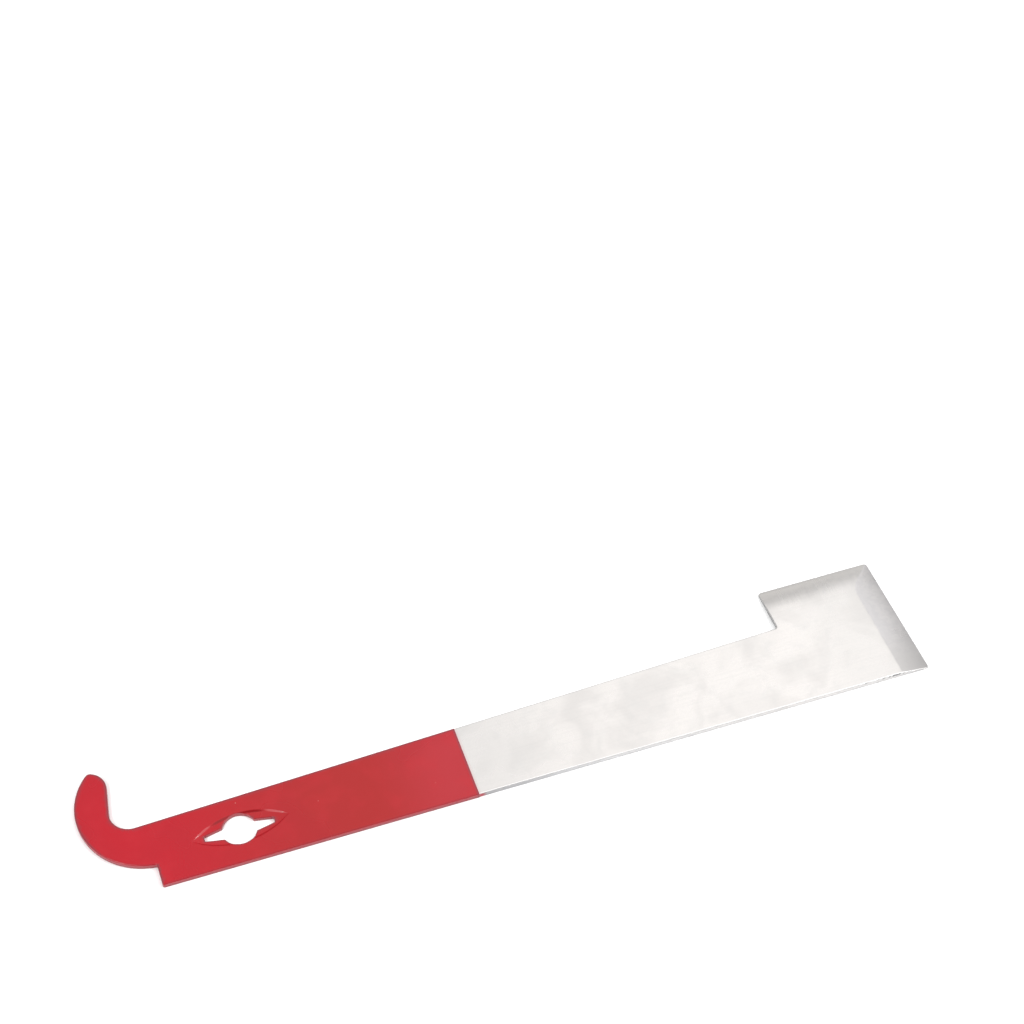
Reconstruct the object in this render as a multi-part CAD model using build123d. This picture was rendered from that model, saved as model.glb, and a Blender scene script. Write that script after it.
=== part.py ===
from build123d import *
import math
import os

# Hive tool: one ground steel plate with a J hook at one end and an L-shaped scraper
# head at the other, and a thin red coat over the hook half.
# Millimetres and degrees. The plate is drawn with its straight lower edge on Y = 0 and
# the outermost point of its hook on X = 0, then moved so that the origin is at the
# middle of the tool's footprint, on the underside of the coat.
# X points at the scraper head, Y at the side the hook opens to, Z up from the underside.

# plate and coat
PLATE_THICKNESS = 1.8
COAT_THICKNESS = 0.12
TOP_EDGE_RADIUS = 0.25
UNDERSIDE_EDGE_RADIUS = 0.15
PLATE_LENGTH = 264.6

# tapering bar
BAR_EDGE_Y_AT_HEEL = 21.75
BAR_EDGE_SLOPE = 1.72
HEEL_X = 20.1
HEEL_CORNER_RADIUS = 0.5
HEEL_ROOT_RADIUS = 0.8

# J hook
HOOK_UPPER_RADIUS = 20.47
HOOK_CENTRE_Y = 29.3
HOOK_UPPER_END_ANGLE = 184.6
HOOK_LOWER_RADIUS = 22.12
HOOK_NOSE_RADIUS = 5.67
HOOK_NOSE_CENTRE = (5.77, 39.05)
HOOK_POINT_RADIUS = 1.3
THROAT_RADIUS = 6.37
THROAT_CENTRE_X = 16.26

# scraper head
HEAD_EDGE_Y = 42.9
HEAD_INNER_X_AT_EDGE = 223.8
HEAD_INNER_X_AT_BAR = 224.9
HEAD_NOTCH_RADIUS = 0.8
HEAD_CORNER_RADIUS = 1.1
END_EDGE_SLANT = 5.75
HEAD_TIP_RADIUS = 0.8

# ground bevels on the top face
CUTTING_EDGE_THICKNESS = 0.4
END_BEVEL_BULGE = 0.16
SIDE_BEVEL_BULGE = 0.26
END_BEVEL_X_AT_TIP = 255.55
END_BEVEL_X_AT_MITRE = 252.85
SIDE_BEVEL_Y_AT_MITRE = 31.75
SIDE_BEVEL_Y_AT_NOTCH = 32.9

# nail hole, its two tapered slots and the lens-shaped relief around it
NAIL_HOLE_X = 46.5
NAIL_HOLE_Y = 11.47
NAIL_HOLE_RADIUS = 5.48
SLOT_HALF_LENGTH = 11.0
SLOT_HALF_WIDTH_AT_CENTRE = 3.12
SLOT_HALF_WIDTH_AT_TIP = 1.03
SLOT_TIP_RADIUS = 0.6
RELIEF_X = 46.9
RELIEF_Y = 11.62
RELIEF_TILT = 0.9
RELIEF_RIM_HALF_LENGTH = 15.3
RELIEF_RIM_HALF_WIDTH = 5.35
RELIEF_FLOOR_HALF_LENGTH = 14.8
RELIEF_FLOOR_HALF_WIDTH = 4.55
RELIEF_DEPTH = 0.45

# paint line across the bar
PAINT_LINE_X_AT_LOWER_EDGE = 118.7
PAINT_LINE_SLANT = 1.5

# how far a cutting shape runs past what it cuts, and a bevel cut past the mitre
OVERRUN = 5.0
MITRE_OVERRUN = 20.0


def polar(centre, radius, angle):
    """The point at an angle on a circle."""
    a = math.radians(angle)
    return (centre[0] + radius * math.cos(a), centre[1] + radius * math.sin(a))


def arc(centre, radius, start_angle, end_angle):
    """A circular arc given by its centre, radius and end angles."""
    start = polar(centre, radius, start_angle)
    middle = polar(centre, radius, (start_angle + end_angle) / 2)
    end = polar(centre, radius, end_angle)
    return ThreePointArc(start, middle, end)


def bar_edge_y(x):
    """Distance of the bar's sloping upper edge from its lower edge."""
    return BAR_EDGE_Y_AT_HEEL + (x - HEEL_X) * math.tan(math.radians(BAR_EDGE_SLOPE))


def upper_crossing(c1, r1, c2, r2):
    """The upper of the two points where two circles cross, c2 lying to the left of c1."""
    dx = c2[0] - c1[0]
    dy = c2[1] - c1[1]
    gap = math.hypot(dx, dy)
    along = (r1**2 - r2**2 + gap**2) / (2 * gap)
    across = math.sqrt(r1**2 - along**2)
    return (c1[0] + (along * dx + across * dy) / gap, c1[1] + (along * dy - across * dx) / gap)


def throat_centre():
    """Centre of the concave arc between the bar's upper edge and the inside of the hook."""
    rise = THROAT_RADIUS / math.cos(math.radians(BAR_EDGE_SLOPE))
    return (THROAT_CENTRE_X, bar_edge_y(THROAT_CENTRE_X) + rise)


def hook_inner_angle():
    """Direction of the straight inside edge, which touches the throat and nose circles."""
    centre = throat_centre()
    dx = HOOK_NOSE_CENTRE[0] - centre[0]
    dy = HOOK_NOSE_CENTRE[1] - centre[1]
    lean = math.asin((THROAT_RADIUS + HOOK_NOSE_RADIUS) / math.hypot(dx, dy))
    return math.degrees(math.atan2(dy, dx) - lean)


def throat_arc():
    """The concave arc from the bar's upper edge round into the inside of the hook."""
    return arc(throat_centre(), THROAT_RADIUS, 270 + BAR_EDGE_SLOPE, hook_inner_angle() + 90)


def hook_back_and_nose():
    """The rounded nose of the hook, then its back down to the heel as two arcs."""
    upper_centre = (HOOK_UPPER_RADIUS, HOOK_CENTRE_Y)
    point = upper_crossing(upper_centre, HOOK_UPPER_RADIUS, HOOK_NOSE_CENTRE, HOOK_NOSE_RADIUS)
    nose_rise = point[1] - HOOK_NOSE_CENTRE[1]
    nose_run = point[0] - HOOK_NOSE_CENTRE[0]
    nose_end = math.degrees(math.atan2(nose_rise, nose_run))
    back_start = math.degrees(math.atan2(point[1] - upper_centre[1], point[0] - upper_centre[0]))
    join = polar(upper_centre, HOOK_UPPER_RADIUS, HOOK_UPPER_END_ANGLE)
    lower_centre = polar(join, HOOK_LOWER_RADIUS, HOOK_UPPER_END_ANGLE - 180)
    heel_angle = 360 - math.degrees(math.acos((HEEL_X - lower_centre[0]) / HOOK_LOWER_RADIUS))
    nose = arc(HOOK_NOSE_CENTRE, HOOK_NOSE_RADIUS, hook_inner_angle() - 90, nose_end)
    upper = arc(upper_centre, HOOK_UPPER_RADIUS, back_start, HOOK_UPPER_END_ANGLE)
    lower = arc(lower_centre, HOOK_LOWER_RADIUS, HOOK_UPPER_END_ANGLE, heel_angle)
    return nose, upper, lower


def end_edge_x(y):
    """Position of the slanted end cutting edge at a height on the head."""
    return PLATE_LENGTH - y * math.tan(math.radians(END_EDGE_SLANT))


def round_corner(face, x, y, radius):
    """The face with its corner nearest to a point rounded."""
    corner = face.vertices().sort_by_distance((x, y, 0))[0]
    return fillet(corner, radius)


def plate_outline():
    """The flat outline of the whole plate."""
    nose, back_upper, back_lower = hook_back_and_nose()
    throat = throat_arc()
    heel_root = back_lower @ 1
    head_corner = (end_edge_x(HEAD_EDGE_Y), HEAD_EDGE_Y)
    head_inner = (HEAD_INNER_X_AT_EDGE, HEAD_EDGE_Y)
    notch = (HEAD_INNER_X_AT_BAR, bar_edge_y(HEAD_INNER_X_AT_BAR))
    tip = (PLATE_LENGTH, 0)
    heel = (HEEL_X, 0)
    straights = Polyline(heel_root, heel, tip, head_corner, head_inner, notch, throat @ 0)
    hook_inner = Line(throat @ 1, nose @ 0)
    outline = make_face([back_upper, back_lower, straights, throat, hook_inner, nose])
    outline = round_corner(outline, heel[0], heel[1], HEEL_CORNER_RADIUS)
    outline = round_corner(outline, heel_root.X, heel_root.Y, HEEL_ROOT_RADIUS)
    outline = round_corner(outline, tip[0], tip[1], HEAD_TIP_RADIUS)
    outline = round_corner(outline, head_corner[0], head_corner[1], HEAD_CORNER_RADIUS)
    outline = round_corner(outline, head_inner[0], head_inner[1], HEAD_CORNER_RADIUS)
    outline = round_corner(outline, notch[0], notch[1], HEAD_NOTCH_RADIUS)
    point = back_upper @ 0
    return round_corner(outline, point.X, point.Y, HOOK_POINT_RADIUS)


def softened_plate(outline, thickness, top_radius, underside_radius):
    """The outline made solid, with its top and underside edges rounded over."""
    plate = extrude(outline, amount=thickness)
    top_edges = plate.faces().sort_by(Axis.Z)[-1].outer_wire().edges()
    plate = fillet(top_edges, top_radius)
    underside_edges = plate.faces().sort_by(Axis.Z)[0].outer_wire().edges()
    return fillet(underside_edges, underside_radius)


def bevel_section(origin, across, width, bulge):
    """The slice removed by one ground bevel, from its inner line out over the cutting edge.

    across is the level direction from the inner line to the cutting edge, and bulge is how
    far the ground face stands above a flat one at its middle."""
    slice_plane = Plane(origin=origin, x_dir=across, z_dir=across.cross(Vector(0, 0, 1)))
    drop = PLATE_THICKNESS - CUTTING_EDGE_THICKNESS
    inner = (0, 0)
    middle = (width / 2, -drop / 2 + bulge)
    edge = (width, -drop)
    fall = math.atan2(drop, width) + 2 * math.atan2(2 * bulge, math.hypot(width, drop))
    outer = (width + OVERRUN, -drop - OVERRUN * math.tan(fall))
    above = (width + OVERRUN, OVERRUN)
    back = (0, OVERRUN)
    ground = ThreePointArc(inner, middle, edge)
    rest = Polyline(edge, outer, above, back, inner)
    return slice_plane * make_face([ground, rest])


def bevel_cut(start, end, width_at_start, width_at_end, across, bulge):
    """The material ground away between two points on a bevel's inner line, run past both."""
    run = end - start
    growth = (width_at_end - width_at_start) / run.length
    unit = run.normalized()
    first = start - unit * OVERRUN
    last = end + unit * MITRE_OVERRUN
    first_width = width_at_start - growth * OVERRUN
    last_width = width_at_end + growth * MITRE_OVERRUN
    first_section = bevel_section(first, across, first_width, bulge)
    last_section = bevel_section(last, across, last_width, bulge)
    return loft([first_section, last_section], ruled=True)


def end_bevel():
    """Bevel behind the slanted end cutting edge."""
    start = Vector(END_BEVEL_X_AT_TIP, 0, PLATE_THICKNESS)
    end = Vector(END_BEVEL_X_AT_MITRE, SIDE_BEVEL_Y_AT_MITRE, PLATE_THICKNESS)
    tip_width = end_edge_x(0) - start.X
    mitre_width = end_edge_x(end.Y) - end.X
    return bevel_cut(start, end, tip_width, mitre_width, Vector(1, 0, 0), END_BEVEL_BULGE)


def side_bevel():
    """Bevel behind the cutting edge along the head's long side."""
    start = Vector(HEAD_INNER_X_AT_EDGE, SIDE_BEVEL_Y_AT_NOTCH, PLATE_THICKNESS)
    end = Vector(END_BEVEL_X_AT_MITRE, SIDE_BEVEL_Y_AT_MITRE, PLATE_THICKNESS)
    notch_width = HEAD_EDGE_Y - start.Y
    mitre_width = HEAD_EDGE_Y - end.Y
    return bevel_cut(start, end, notch_width, mitre_width, Vector(0, 1, 0), SIDE_BEVEL_BULGE)


def nail_opening(inset):
    """Flat shape of the nail hole and its two tapered slots, drawn in by the inset."""
    slots = Polyline(
        (-SLOT_HALF_LENGTH, -SLOT_HALF_WIDTH_AT_TIP),
        (0, -SLOT_HALF_WIDTH_AT_CENTRE),
        (SLOT_HALF_LENGTH, -SLOT_HALF_WIDTH_AT_TIP),
        (SLOT_HALF_LENGTH, SLOT_HALF_WIDTH_AT_TIP),
        (0, SLOT_HALF_WIDTH_AT_CENTRE),
        (-SLOT_HALF_LENGTH, SLOT_HALF_WIDTH_AT_TIP),
        (-SLOT_HALF_LENGTH, -SLOT_HALF_WIDTH_AT_TIP),
    )
    slot_face = make_face(slots)
    tips = slot_face.vertices().filter_by(lambda v: abs(v.X) > NAIL_HOLE_RADIUS)
    slot_face = fillet(tips, SLOT_TIP_RADIUS)
    opening = slot_face + Circle(NAIL_HOLE_RADIUS)
    if inset > 0:
        opening = offset(opening, amount=-inset, kind=Kind.ARC)
    return Pos(NAIL_HOLE_X, NAIL_HOLE_Y, 0) * opening


def lens(half_length, half_width, inset):
    """Two equal arcs meeting in points, drawn in by the inset."""
    radius = (half_length**2 + half_width**2) / (2 * half_width)
    centre_y = radius - half_width
    inner_half_width = half_width - inset
    inner_half_length = math.sqrt((radius - inset) ** 2 - centre_y**2)
    right = (inner_half_length, 0)
    left = (-inner_half_length, 0)
    above = ThreePointArc(right, (0, inner_half_width), left)
    below = ThreePointArc(left, (0, -inner_half_width), right)
    return make_face([above, below])


def relief_cut(top_z, inset):
    """The shallow lens-shaped recess round the nail hole, its wall sloping in to the floor."""
    rim = lens(RELIEF_RIM_HALF_LENGTH, RELIEF_RIM_HALF_WIDTH, inset)
    floor = lens(RELIEF_FLOOR_HALF_LENGTH, RELIEF_FLOOR_HALF_WIDTH, inset)
    rim = Pos(RELIEF_X, RELIEF_Y, top_z) * Rot(0, 0, RELIEF_TILT) * rim
    floor = Pos(RELIEF_X, RELIEF_Y, top_z - RELIEF_DEPTH) * Rot(0, 0, RELIEF_TILT) * floor
    cap = extrude(rim, amount=OVERRUN)
    return loft([floor, rim], ruled=True) + cap


def nail_cut(inset):
    """Through cut for the nail hole and its slots."""
    return Pos(0, 0, -OVERRUN) * extrude(nail_opening(inset), amount=PLATE_THICKNESS + 2 * OVERRUN)


def steel_blade():
    """The bare plate: hook, bar and scraper head in one piece, ground and pierced."""
    blade = softened_plate(plate_outline(), PLATE_THICKNESS, TOP_EDGE_RADIUS, UNDERSIDE_EDGE_RADIUS)
    blade = blade - end_bevel() - side_bevel()
    blade = blade - relief_cut(PLATE_THICKNESS, 0)
    return blade - nail_cut(0)


def painted_region():
    """Everything on the hook side of the paint line."""
    lean = math.tan(math.radians(PAINT_LINE_SLANT))
    low = -OVERRUN
    high = HEAD_EDGE_Y + OVERRUN
    corners = Polyline(
        (low, low),
        (PAINT_LINE_X_AT_LOWER_EDGE - low * lean, low),
        (PAINT_LINE_X_AT_LOWER_EDGE - high * lean, high),
        (low, high),
        (low, low),
    )
    return Pos(0, 0, -OVERRUN) * extrude(make_face(corners), amount=PLATE_THICKNESS + 2 * OVERRUN)


def red_coating(blade):
    """The coat: the blade's shape grown by the coat's thickness, less the blade itself."""
    outline = offset(plate_outline(), amount=COAT_THICKNESS, kind=Kind.ARC)
    grown = softened_plate(
        outline,
        PLATE_THICKNESS + 2 * COAT_THICKNESS,
        TOP_EDGE_RADIUS + COAT_THICKNESS,
        UNDERSIDE_EDGE_RADIUS + COAT_THICKNESS,
    )
    grown = Pos(0, 0, -COAT_THICKNESS) * grown
    grown = grown & painted_region()
    grown = grown - relief_cut(PLATE_THICKNESS + COAT_THICKNESS, COAT_THICKNESS)
    grown = grown - nail_cut(COAT_THICKNESS)
    return grown - blade


def footprint_middle(blade, coating):
    """Middle of the whole tool's footprint in the drawing's coordinates."""
    steel_box = blade.bounding_box()
    coat_box = coating.bounding_box()
    x = (coat_box.min.X + steel_box.max.X) / 2
    y = (coat_box.min.Y + coat_box.max.Y) / 2
    return x, y


def main():
    os.makedirs("parts", exist_ok=True)
    blade = steel_blade()
    coating = red_coating(blade)
    x, y = footprint_middle(blade, coating)
    to_row_frame = Pos(-x, -y, COAT_THICKNESS)
    export_step(to_row_frame * blade, "parts/steel_blade.step")
    export_step(to_row_frame * coating, "parts/red_coating.step")


main()
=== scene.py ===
import math

import bpy
import numpy as np
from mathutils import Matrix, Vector, geometry, noise


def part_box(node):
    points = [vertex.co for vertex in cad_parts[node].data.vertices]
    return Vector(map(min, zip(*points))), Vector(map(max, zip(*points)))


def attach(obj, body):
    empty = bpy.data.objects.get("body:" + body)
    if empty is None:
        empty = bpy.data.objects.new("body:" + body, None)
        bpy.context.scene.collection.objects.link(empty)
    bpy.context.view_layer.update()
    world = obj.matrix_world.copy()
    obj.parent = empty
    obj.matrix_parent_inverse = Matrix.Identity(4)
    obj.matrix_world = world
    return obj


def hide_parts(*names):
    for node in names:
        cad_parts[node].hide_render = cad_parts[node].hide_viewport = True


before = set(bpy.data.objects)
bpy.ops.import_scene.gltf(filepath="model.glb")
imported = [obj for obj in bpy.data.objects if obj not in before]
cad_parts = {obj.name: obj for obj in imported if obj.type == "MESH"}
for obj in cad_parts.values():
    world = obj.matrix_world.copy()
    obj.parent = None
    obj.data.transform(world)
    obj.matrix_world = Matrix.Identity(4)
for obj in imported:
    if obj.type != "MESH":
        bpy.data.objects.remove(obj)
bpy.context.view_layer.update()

# The plate is drawn in millimetres with its straight lower edge on y = 0 and the outermost
# point of its hook on x = 0. Heights are above the underside of the coat.
MM = 0.001
steel_low, steel_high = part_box("steel_blade")
coat_low, coat_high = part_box("red_coating")
COAT = (steel_low.z - coat_low.z) / MM
UNDERSIDE = steel_low.z / MM
TOP = steel_high.z / MM
DRAWING_X = coat_low.x / MM + COAT
DRAWING_Y = steel_low.y / MM

# outline
PLATE_LENGTH = 264.6
BAR_EDGE_Y_AT_HEEL = 21.75
BAR_EDGE_SLOPE = 1.72
HEEL_X = 20.1
HEEL_CORNER_RADIUS = 0.5
HEEL_ROOT_RADIUS = 0.8
HOOK_UPPER_RADIUS = 20.47
HOOK_CENTRE_Y = 29.3
HOOK_UPPER_END_ANGLE = 184.6
HOOK_LOWER_RADIUS = 22.12
HOOK_NOSE_RADIUS = 5.67
HOOK_NOSE_CENTRE = (5.77, 39.05)
HOOK_POINT_RADIUS = 1.3
THROAT_RADIUS = 6.37
THROAT_CENTRE_X = 16.26
HEAD_EDGE_Y = 42.9
HEAD_INNER_X_AT_EDGE = 223.8
HEAD_INNER_X_AT_BAR = 224.9
HEAD_NOTCH_RADIUS = 0.8
HEAD_CORNER_RADIUS = 1.1
END_EDGE_SLANT = 5.75
HEAD_TIP_RADIUS = 0.8

# ground bevels
BEVEL_DROP = 1.4
END_BEVEL_BULGE = 0.16
END_BEVEL_X_AT_TIP = 255.55
END_BEVEL_X_AT_MITRE = 252.85
SIDE_BEVEL_Y_AT_MITRE = 31.75
SIDE_BEVEL_Y_AT_NOTCH = 32.9
HEAD_LEFT_LIMIT = 215.0
END_LINE_SOFTNESS = 0.05

# nail hole with its slots, and the lens-shaped relief
NAIL_HOLE = (46.5, 11.47)
NAIL_HOLE_RADIUS = 5.48
SLOT_HALF_LENGTH = 11.0
SLOT_HALF_WIDTH_AT_CENTRE = 3.12
SLOT_HALF_WIDTH_AT_TIP = 1.03
SLOT_TIP_RADIUS = 0.6
SLOT_ROOT_RADIUS = 0.22
RELIEF = (46.9, 11.62)
RELIEF_TILT = 0.9
RELIEF_RIM = (15.3, 5.35)
RELIEF_FLOOR = (14.8, 4.55)
RELIEF_DEPTH = 0.45
RELIEF_TIP_FADE = 0.8
RELIEF_FADE_FROM = 0.72
RELIEF_WALL_SOFTNESS = 0.12

# edges and the paint line
EDGE_RADIUS = 0.25
UNDERSIDE_EDGE_RADIUS = 0.15
CUTTING_EDGE_RADIUS = 0.06
HOLE_EDGE_RADIUS = 0.12
SUPPORT = 0.06
VERGE = 0.2
PAINT_LINE_X = 118.7
PAINT_LINE_SLANT = 1.5
LIP_WIDTH = 0.16
LIP_EDGE = 0.03
# rows of the coat's rounded lip, as distances behind the paint line
LIP_ROWS = np.array([0, 0.02, 0.05, 0.1, LIP_WIDTH, 0.3])
COAT_GAP = 0.003

# wear
EDGE_WEAR = 0.12
EDGE_WEAR_PERIOD = 6
NICK_SINK = 0.6
FULL_NICK = 0.12
# place along the lower edge, reach and depth of each nick
NICKS = (
    (171.0, 0.3, 0.04),
    (205.3, 0.35, 0.04),
    (236.4, 0.3, 0.04),
    (243.6, 0.8, 0.06),
    (247.6, 0.3, 0.04),
    (249.5, 0.55, 0.07),
    (251.5, 0.45, 0.08),
    (252.9, 0.5, 0.11),
    (253.9, 0.45, 0.1),
    (254.8, 0.4, 0.1),
    (256.1, 0.35, 0.08),
    (257.4, 0.25, 0.05),
)
NICKED_FROM_X = 230

# mesh spacing, sharpness and point weights
LINE_STEP = 0.6
ARC_STEP = 0.45
ARC_STEP_ANGLE = 0.14
STEEL_TOP_STEP = 1.6
STEEL_UNDERSIDE_STEP = 3.0
COAT_TOP_STEP = 1.4
COAT_UNDERSIDE_STEP = 2.6
BEVEL_STEP = 0.45
FREE_POINT_GAP = 0.22
PAINT_LINE_COLUMNS = 62
SHARP_ANGLE = 50
WEIGHTS = ("wall", "rim", "foot", "upper", "far_rim_shade")


def tan_deg(angle):
    return math.tan(math.radians(angle))


def bar_edge_y(x):
    """Distance of the bar's sloping upper edge from its lower edge."""
    return BAR_EDGE_Y_AT_HEEL + (x - HEEL_X) * tan_deg(BAR_EDGE_SLOPE)


def smooth(low, high, value):
    """Rises from 0 at low to 1 at high with level ends."""
    t = np.clip((np.asarray(value, float) - low) / (high - low), 0, 1)
    return t * t * (3 - 2 * t)


def wander(values, period, seed):
    """Smooth uneven noise from -1 to 1 along a run of distances."""
    return np.array([noise.noise(Vector((v / period, seed, 0.5 * seed))) for v in values])


# ---------------------------------------- outlines
# A run is an array of rows x, y, nx, ny: points with the steel on their left as the run is
# followed, and the level direction that faces out of the steel.


def arc_run(centre, radius, start, end, hollow=False):
    step = min(max(radius * ARC_STEP_ANGLE, 0.05), ARC_STEP)
    count = max(4, math.ceil(abs(math.radians(end - start)) * radius / step))
    angle = np.radians(np.linspace(start, end, count + 1))
    radial = np.c_[np.cos(angle), np.sin(angle)]
    return np.c_[np.array(centre) + radius * radial, -radial if hollow else radial]


def line_run(start, end):
    run = np.array(end, float) - np.array(start, float)
    run /= math.hypot(*run)
    return np.array([[*start, run[1], -run[0]], [*end, run[1], -run[0]]], float)


def crossing(a, b):
    """Where two open lines of points cross: the index and fraction along each."""
    da, db = np.diff(a, axis=0)[:, None], np.diff(b, axis=0)[None]
    gap = b[None, :-1] - a[:-1, None]
    with np.errstate(divide="ignore", invalid="ignore"):
        det = da[..., 0] * db[..., 1] - da[..., 1] * db[..., 0]
        u = (gap[..., 0] * db[..., 1] - gap[..., 1] * db[..., 0]) / det
        v = (gap[..., 0] * da[..., 1] - gap[..., 1] * da[..., 0]) / det
        hit = (u >= 0) & (u <= 1) & (v >= 0) & (v <= 1)
    i, j = np.argwhere(hit)[0]
    return i, u[i, j], j, v[i, j]


def between(run, i, u):
    return run[i] + u * (run[i + 1] - run[i])


def rounded(a, b, radius):
    """Two runs trimmed back from the corner they share, and the rounding between them."""
    ta, tb = a[-1, :2] - a[-2, :2], b[1, :2] - b[0, :2]
    side = 1 if ta[0] * tb[1] > ta[1] * tb[0] else -1
    inner_a = a[:, :2] - side * radius * a[:, 2:]
    inner_b = b[:, :2] - side * radius * b[:, 2:]
    i, u, j, v = crossing(inner_a, inner_b)
    centre = between(inner_a, i, u)
    start, end = between(a, i, u), between(b, j, v)
    first = math.degrees(math.atan2(start[1] - centre[1], start[0] - centre[0]))
    last = math.degrees(math.atan2(end[1] - centre[1], end[0] - centre[0]))
    last = first + side * ((side * (last - first)) % 360)
    corner = arc_run(centre, radius, first, last, hollow=side < 0)
    return np.vstack([a[: i + 1], start]), corner, np.vstack([end, b[j + 1 :]])


def divided(run):
    """A straight run cut into even steps."""
    if len(run) > 2:
        return run
    length = math.hypot(*(run[1, :2] - run[0, :2]))
    share = np.linspace(0, 1, max(2, math.ceil(length / LINE_STEP) + 1))[:, None]
    return run[0] + share * (run[1] - run[0])


def closed_outline(runs, radii):
    """One loop from runs that follow each other, with a rounding, or none, after each."""
    corners = []
    for k, radius in enumerate(radii):
        after = (k + 1) % len(runs)
        corner = np.empty((0, 4))
        if radius:
            runs[k], corner, runs[after] = rounded(runs[k], runs[after], radius)
        corners.append(corner)
    rows = np.vstack([np.vstack([divided(run), corner]) for run, corner in zip(runs, corners)])
    step = np.hypot(*(rows[:, :2] - np.roll(rows[:, :2], 1, axis=0)).T)
    rows = rows[step > 0.02]
    rows[:, 2:] /= np.hypot(rows[:, 2], rows[:, 3])[:, None]
    return rows


def plate_outline():
    throat_rise = THROAT_RADIUS / math.cos(math.radians(BAR_EDGE_SLOPE))
    throat = (THROAT_CENTRE_X, bar_edge_y(THROAT_CENTRE_X) + throat_rise)
    dx, dy = HOOK_NOSE_CENTRE[0] - throat[0], HOOK_NOSE_CENTRE[1] - throat[1]
    lean = math.asin((THROAT_RADIUS + HOOK_NOSE_RADIUS) / math.hypot(dx, dy))
    inside = math.degrees(math.atan2(dy, dx) - lean)
    throat_run = arc_run(throat, THROAT_RADIUS, 270 + BAR_EDGE_SLOPE, inside + 90, hollow=True)
    back = (HOOK_UPPER_RADIUS, HOOK_CENTRE_Y)
    nose_run = arc_run(HOOK_NOSE_CENTRE, HOOK_NOSE_RADIUS, inside - 90, inside + 90)
    back_run = arc_run(back, HOOK_UPPER_RADIUS, 120, HOOK_UPPER_END_ANGLE)
    i, u, j, v = crossing(nose_run[:, :2], back_run[:, :2])
    nose_run = np.vstack([nose_run[: i + 1], between(nose_run, i, u)])
    back_run = np.vstack([between(back_run, j, v), back_run[j + 1 :]])
    join = back_run[-1, :2]
    lower = join - HOOK_LOWER_RADIUS * back_run[-1, 2:]
    heel_angle = 360 - math.degrees(math.acos((HEEL_X - lower[0]) / HOOK_LOWER_RADIUS))
    lower_run = arc_run(lower, HOOK_LOWER_RADIUS, HOOK_UPPER_END_ANGLE, heel_angle)
    head_corner = (PLATE_LENGTH - HEAD_EDGE_Y * tan_deg(END_EDGE_SLANT), HEAD_EDGE_Y)
    head_inner = (HEAD_INNER_X_AT_EDGE, HEAD_EDGE_Y)
    notch = (HEAD_INNER_X_AT_BAR, bar_edge_y(HEAD_INNER_X_AT_BAR))
    tip, heel = (PLATE_LENGTH, 0), (HEEL_X, 0)
    runs = [
        back_run,
        lower_run,
        line_run(lower_run[-1, :2], heel),
        line_run(heel, tip),
        line_run(tip, head_corner),
        line_run(head_corner, head_inner),
        line_run(head_inner, notch),
        line_run(notch, throat_run[0, :2]),
        throat_run,
        line_run(throat_run[-1, :2], nose_run[0, :2]),
        nose_run,
    ]
    radii = [None, HEEL_ROOT_RADIUS, HEEL_CORNER_RADIUS, HEAD_TIP_RADIUS]
    radii += [HEAD_CORNER_RADIUS, HEAD_CORNER_RADIUS, HEAD_NOTCH_RADIUS]
    radii += [None, None, None, HOOK_POINT_RADIUS]
    return closed_outline(runs, radii)


def nail_outline():
    """The nail hole and its slots, followed clockwise so that the steel is on the left."""
    taper = (SLOT_HALF_WIDTH_AT_CENTRE - SLOT_HALF_WIDTH_AT_TIP) / SLOT_HALF_LENGTH
    a = 1 + taper**2
    b = taper * SLOT_HALF_WIDTH_AT_CENTRE
    c = SLOT_HALF_WIDTH_AT_CENTRE**2 - NAIL_HOLE_RADIUS**2
    x = (b + math.sqrt(b * b - a * c)) / a
    y = SLOT_HALF_WIDTH_AT_CENTRE - taper * x
    angle = math.degrees(math.atan2(y, x))
    end, half = SLOT_HALF_LENGTH, SLOT_HALF_WIDTH_AT_TIP
    runs = [
        arc_run((0, 0), NAIL_HOLE_RADIUS, 180 - angle, angle, hollow=True),
        line_run((x, y), (end, half)),
        line_run((end, half), (end, -half)),
        line_run((end, -half), (x, -y)),
        arc_run((0, 0), NAIL_HOLE_RADIUS, -angle, angle - 180, hollow=True),
        line_run((-x, -y), (-end, -half)),
        line_run((-end, -half), (-end, half)),
        line_run((-end, half), (-x, y)),
    ]
    radii = [SLOT_ROOT_RADIUS, SLOT_TIP_RADIUS, SLOT_TIP_RADIUS, SLOT_ROOT_RADIUS] * 2
    rows = closed_outline(runs, radii)
    rows[:, :2] += NAIL_HOLE
    return rows


# ---------------------------------------- surfaces


def end_inner_x(y):
    """The end bevel's inner line."""
    lean = (END_BEVEL_X_AT_MITRE - END_BEVEL_X_AT_TIP) / SIDE_BEVEL_Y_AT_MITRE
    return END_BEVEL_X_AT_TIP + lean * y


def side_inner_y(x):
    """The side bevel's inner line."""
    length = END_BEVEL_X_AT_MITRE - HEAD_INNER_X_AT_EDGE
    fall = (SIDE_BEVEL_Y_AT_MITRE - SIDE_BEVEL_Y_AT_NOTCH) / length
    return SIDE_BEVEL_Y_AT_NOTCH + fall * (x - HEAD_INNER_X_AT_EDGE)


def end_bevel_share(x, y):
    """How far across the end bevel a point lies: 0 at its inner line, 1 at the edge."""
    inner = end_inner_x(y)
    outer = PLATE_LENGTH - y * tan_deg(END_EDGE_SLANT)
    return (x - inner) / (outer - inner)


def side_bevel_share(x, y):
    """The same across the bevel on the head's long side."""
    inner = side_inner_y(np.maximum(x, HEAD_LEFT_LIMIT))
    return np.where(x > HEAD_LEFT_LIMIT, (y - inner) / (HEAD_EDGE_Y - inner), 0)


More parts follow.
